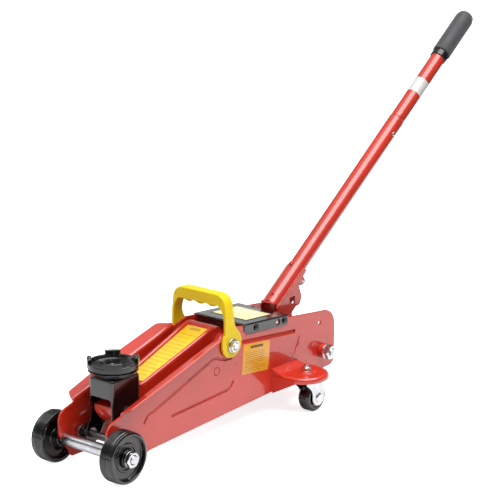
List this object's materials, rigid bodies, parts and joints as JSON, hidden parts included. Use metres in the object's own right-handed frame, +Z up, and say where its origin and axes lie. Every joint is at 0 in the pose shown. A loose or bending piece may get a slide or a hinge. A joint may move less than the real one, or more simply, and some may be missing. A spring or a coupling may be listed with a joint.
{
  "type": "hydraulic floor jack",
  "caption": "Low trolley floor jack: flat side plates on wheels and casters, a hydraulic lift arm with a turning saddle, a carry handle and a long pump handle.",
  "frame": {"origin": "middle of the jack's box in plan, on the floor", "axes": "+Z up; +Y from the saddle end towards the handle; +X towards the jack's left side plate, across the frame"},
  "size_m": [0.203, 0.854, 0.4888],
  "materials": {
    "paint_red": "glossy deep red enamel",
    "black_coat": "satin to glossy black enamel",
    "zinc": "bright zinc plating",
    "bare_steel": "turned, lightly oiled steel",
    "yellow_plastic": "satin moulded yellow plastic",
    "black_wheel": "hard black moulded wheel with a worn tread",
    "grey_foam": "dark grey closed-cell foam sleeve",
    "cast_red": "painted casting, slightly rough"
  },
  "bodies": {
    "frame": {"side_plate_left": "paint_red", "side_plate_right": "paint_red", "wing_left": "paint_red", "wing_right": "paint_red", "link_stub_left": "paint_red", "link_stub_right": "paint_red", "rear_spacer_left": "paint_red", "rear_spacer_right": "paint_red", "top_cover": "black_coat", "cover_screw_front_left": "black_coat", "cover_screw_front_right": "black_coat", "cover_screw_rear_left": "black_coat", "cover_screw_rear_right": "black_coat", "front_axle": "zinc", "axle_washer_left": "zinc", "axle_washer_right": "zinc", "axle_nut_left": "zinc", "axle_nut_right": "zinc", "caster_bolt_left": "zinc", "caster_bolt_right": "zinc", "pivot_nut_left": "zinc", "pivot_nut_right": "zinc", "rear_cross_bolt": "zinc", "rear_nut_left": "zinc", "rear_nut_right": "zinc", "socket_pin": "zinc", "arm_pivot_shaft": "bare_steel", "return_spring_left": "bare_steel", "return_spring_right": "bare_steel", "hydraulic_cylinder": "cast_red", "pump_block": "cast_red"},
    "arm": {"lift_arm": "paint_red", "lever_pin": "bare_steel"},
    "bracket": {"saddle_bracket": "black_coat", "arm_nose_pin": "bare_steel", "link_nose_pin": "bare_steel"},
    "saddle": {"saddle": "black_coat"},
    "links": {"link_bar_left": "black_coat", "link_bar_right": "black_coat"},
    "ram": {"ram": "bare_steel"},
    "socket": {"handle_socket": "paint_red", "socket_roller": "bare_steel", "clamp_screw": "zinc", "handle_lower": "paint_red", "handle_upper": "paint_red", "handle_grip": "grey_foam"},
    "handle_button": {"handle_button": "zinc"},
    "plunger": {"pump_plunger": "zinc"},
    "release_valve": {"release_valve": "bare_steel"},
    "carry_handle": {"carry_handle": "yellow_plastic"},
    "front_wheel_left": {"front_wheel_left": "black_wheel"},
    "front_wheel_right": {"front_wheel_right": "black_wheel"},
    "caster_left": {"caster_fork_left": "zinc", "caster_axle_left": "zinc"},
    "caster_right": {"caster_fork_right": "zinc", "caster_axle_right": "zinc"},
    "caster_wheel_left": {"caster_wheel_left": "black_wheel"},
    "caster_wheel_right": {"caster_wheel_right": "black_wheel"}
  },
  "joints": [
    {"name": "arm_lift", "type": "hinge", "parent": "frame", "child": "arm", "pos_m": [0, -0.1785, 0.117], "axis": [-1, 0, 0], "range_deg": [0, 67]},
    {"name": "bracket_level", "type": "hinge", "parent": "arm", "child": "bracket", "pos_m": [0, -0.3445, 0.066], "axis": [-1, 0, 0], "range_deg": [-67.5, 0]},
    {"name": "saddle_turn", "type": "hinge", "parent": "bracket", "child": "saddle", "pos_m": [0, -0.3495, 0.113], "axis": [0, 0, 1], "continuous": true},
    {"name": "link_swing", "type": "hinge", "parent": "frame", "child": "links", "pos_m": [0, -0.2045, 0.088], "axis": [-1, 0, 0], "range_deg": [0, 67.5]},
    {"name": "ram_extend", "type": "slide", "parent": "frame", "child": "ram", "axis": [0, -1, 0], "range_m": [0, 0.0397], "deforming": ["return_spring_left", "return_spring_right"]},
    {"name": "socket_pump", "type": "hinge", "parent": "frame", "child": "socket", "pos_m": [0, -0.0345, 0.112], "axis": [1, 0, 0], "range_deg": [-25, 45]},
    {"name": "plunger_stroke", "type": "slide", "parent": "frame", "child": "plunger", "axis": [0, 0, 1], "range_m": [-0.0064, 0.0114]},
    {"name": "button_press", "type": "slide", "parent": "socket", "child": "handle_button", "axis": [-1, 0, 0], "range_m": [0, 0.003], "stiffness_N_per_m": 400},
    {"name": "release_valve_turn", "type": "hinge", "parent": "frame", "child": "release_valve", "pos_m": [0, 0.0255, 0.077], "axis": [0, 1, 0], "range_deg": [0, 180]},
    {"name": "carry_handle_swing", "type": "hinge", "parent": "frame", "child": "carry_handle", "pos_m": [0, -0.1785, 0.117], "axis": [-1, 0, 0], "range_deg": [0, 40]},
    {"name": "front_wheel_left_spin", "type": "hinge", "parent": "frame", "child": "front_wheel_left", "pos_m": [0.058, -0.3945, 0.0325], "axis": [1, 0, 0], "continuous": true},
    {"name": "front_wheel_right_spin", "type": "hinge", "parent": "frame", "child": "front_wheel_right", "pos_m": [-0.058, -0.3945, 0.0325], "axis": [1, 0, 0], "continuous": true},
    {"name": "caster_left_swivel", "type": "hinge", "parent": "frame", "child": "caster_left", "pos_m": [0.072, -0.057, 0.048], "axis": [0, 0, 1], "continuous": true},
    {"name": "caster_left_roll", "type": "hinge", "parent": "caster_left", "child": "caster_wheel_left", "pos_m": [0.072, -0.04475, 0.02], "axis": [1, 0, 0], "continuous": true},
    {"name": "caster_right_swivel", "type": "hinge", "parent": "frame", "child": "caster_right", "pos_m": [-0.072, -0.057, 0.048], "axis": [0, 0, 1], "continuous": true},
    {"name": "caster_right_roll", "type": "hinge", "parent": "caster_right", "child": "caster_wheel_right", "pos_m": [-0.072, -0.04475, 0.02], "axis": [1, 0, 0], "continuous": true}
  ],
  "couplings": [
    {"joint": "bracket_level", "follows": "arm_lift", "ratio": -1},
    {"joint": "link_swing", "follows": "arm_lift", "ratio": 1},
    {"joint": "ram_extend", "follows": "arm_lift", "m_per_rad": 0.0336},
    {"joint": "plunger_stroke", "follows": "socket_pump", "m_per_rad": 0.0141}
  ]
}
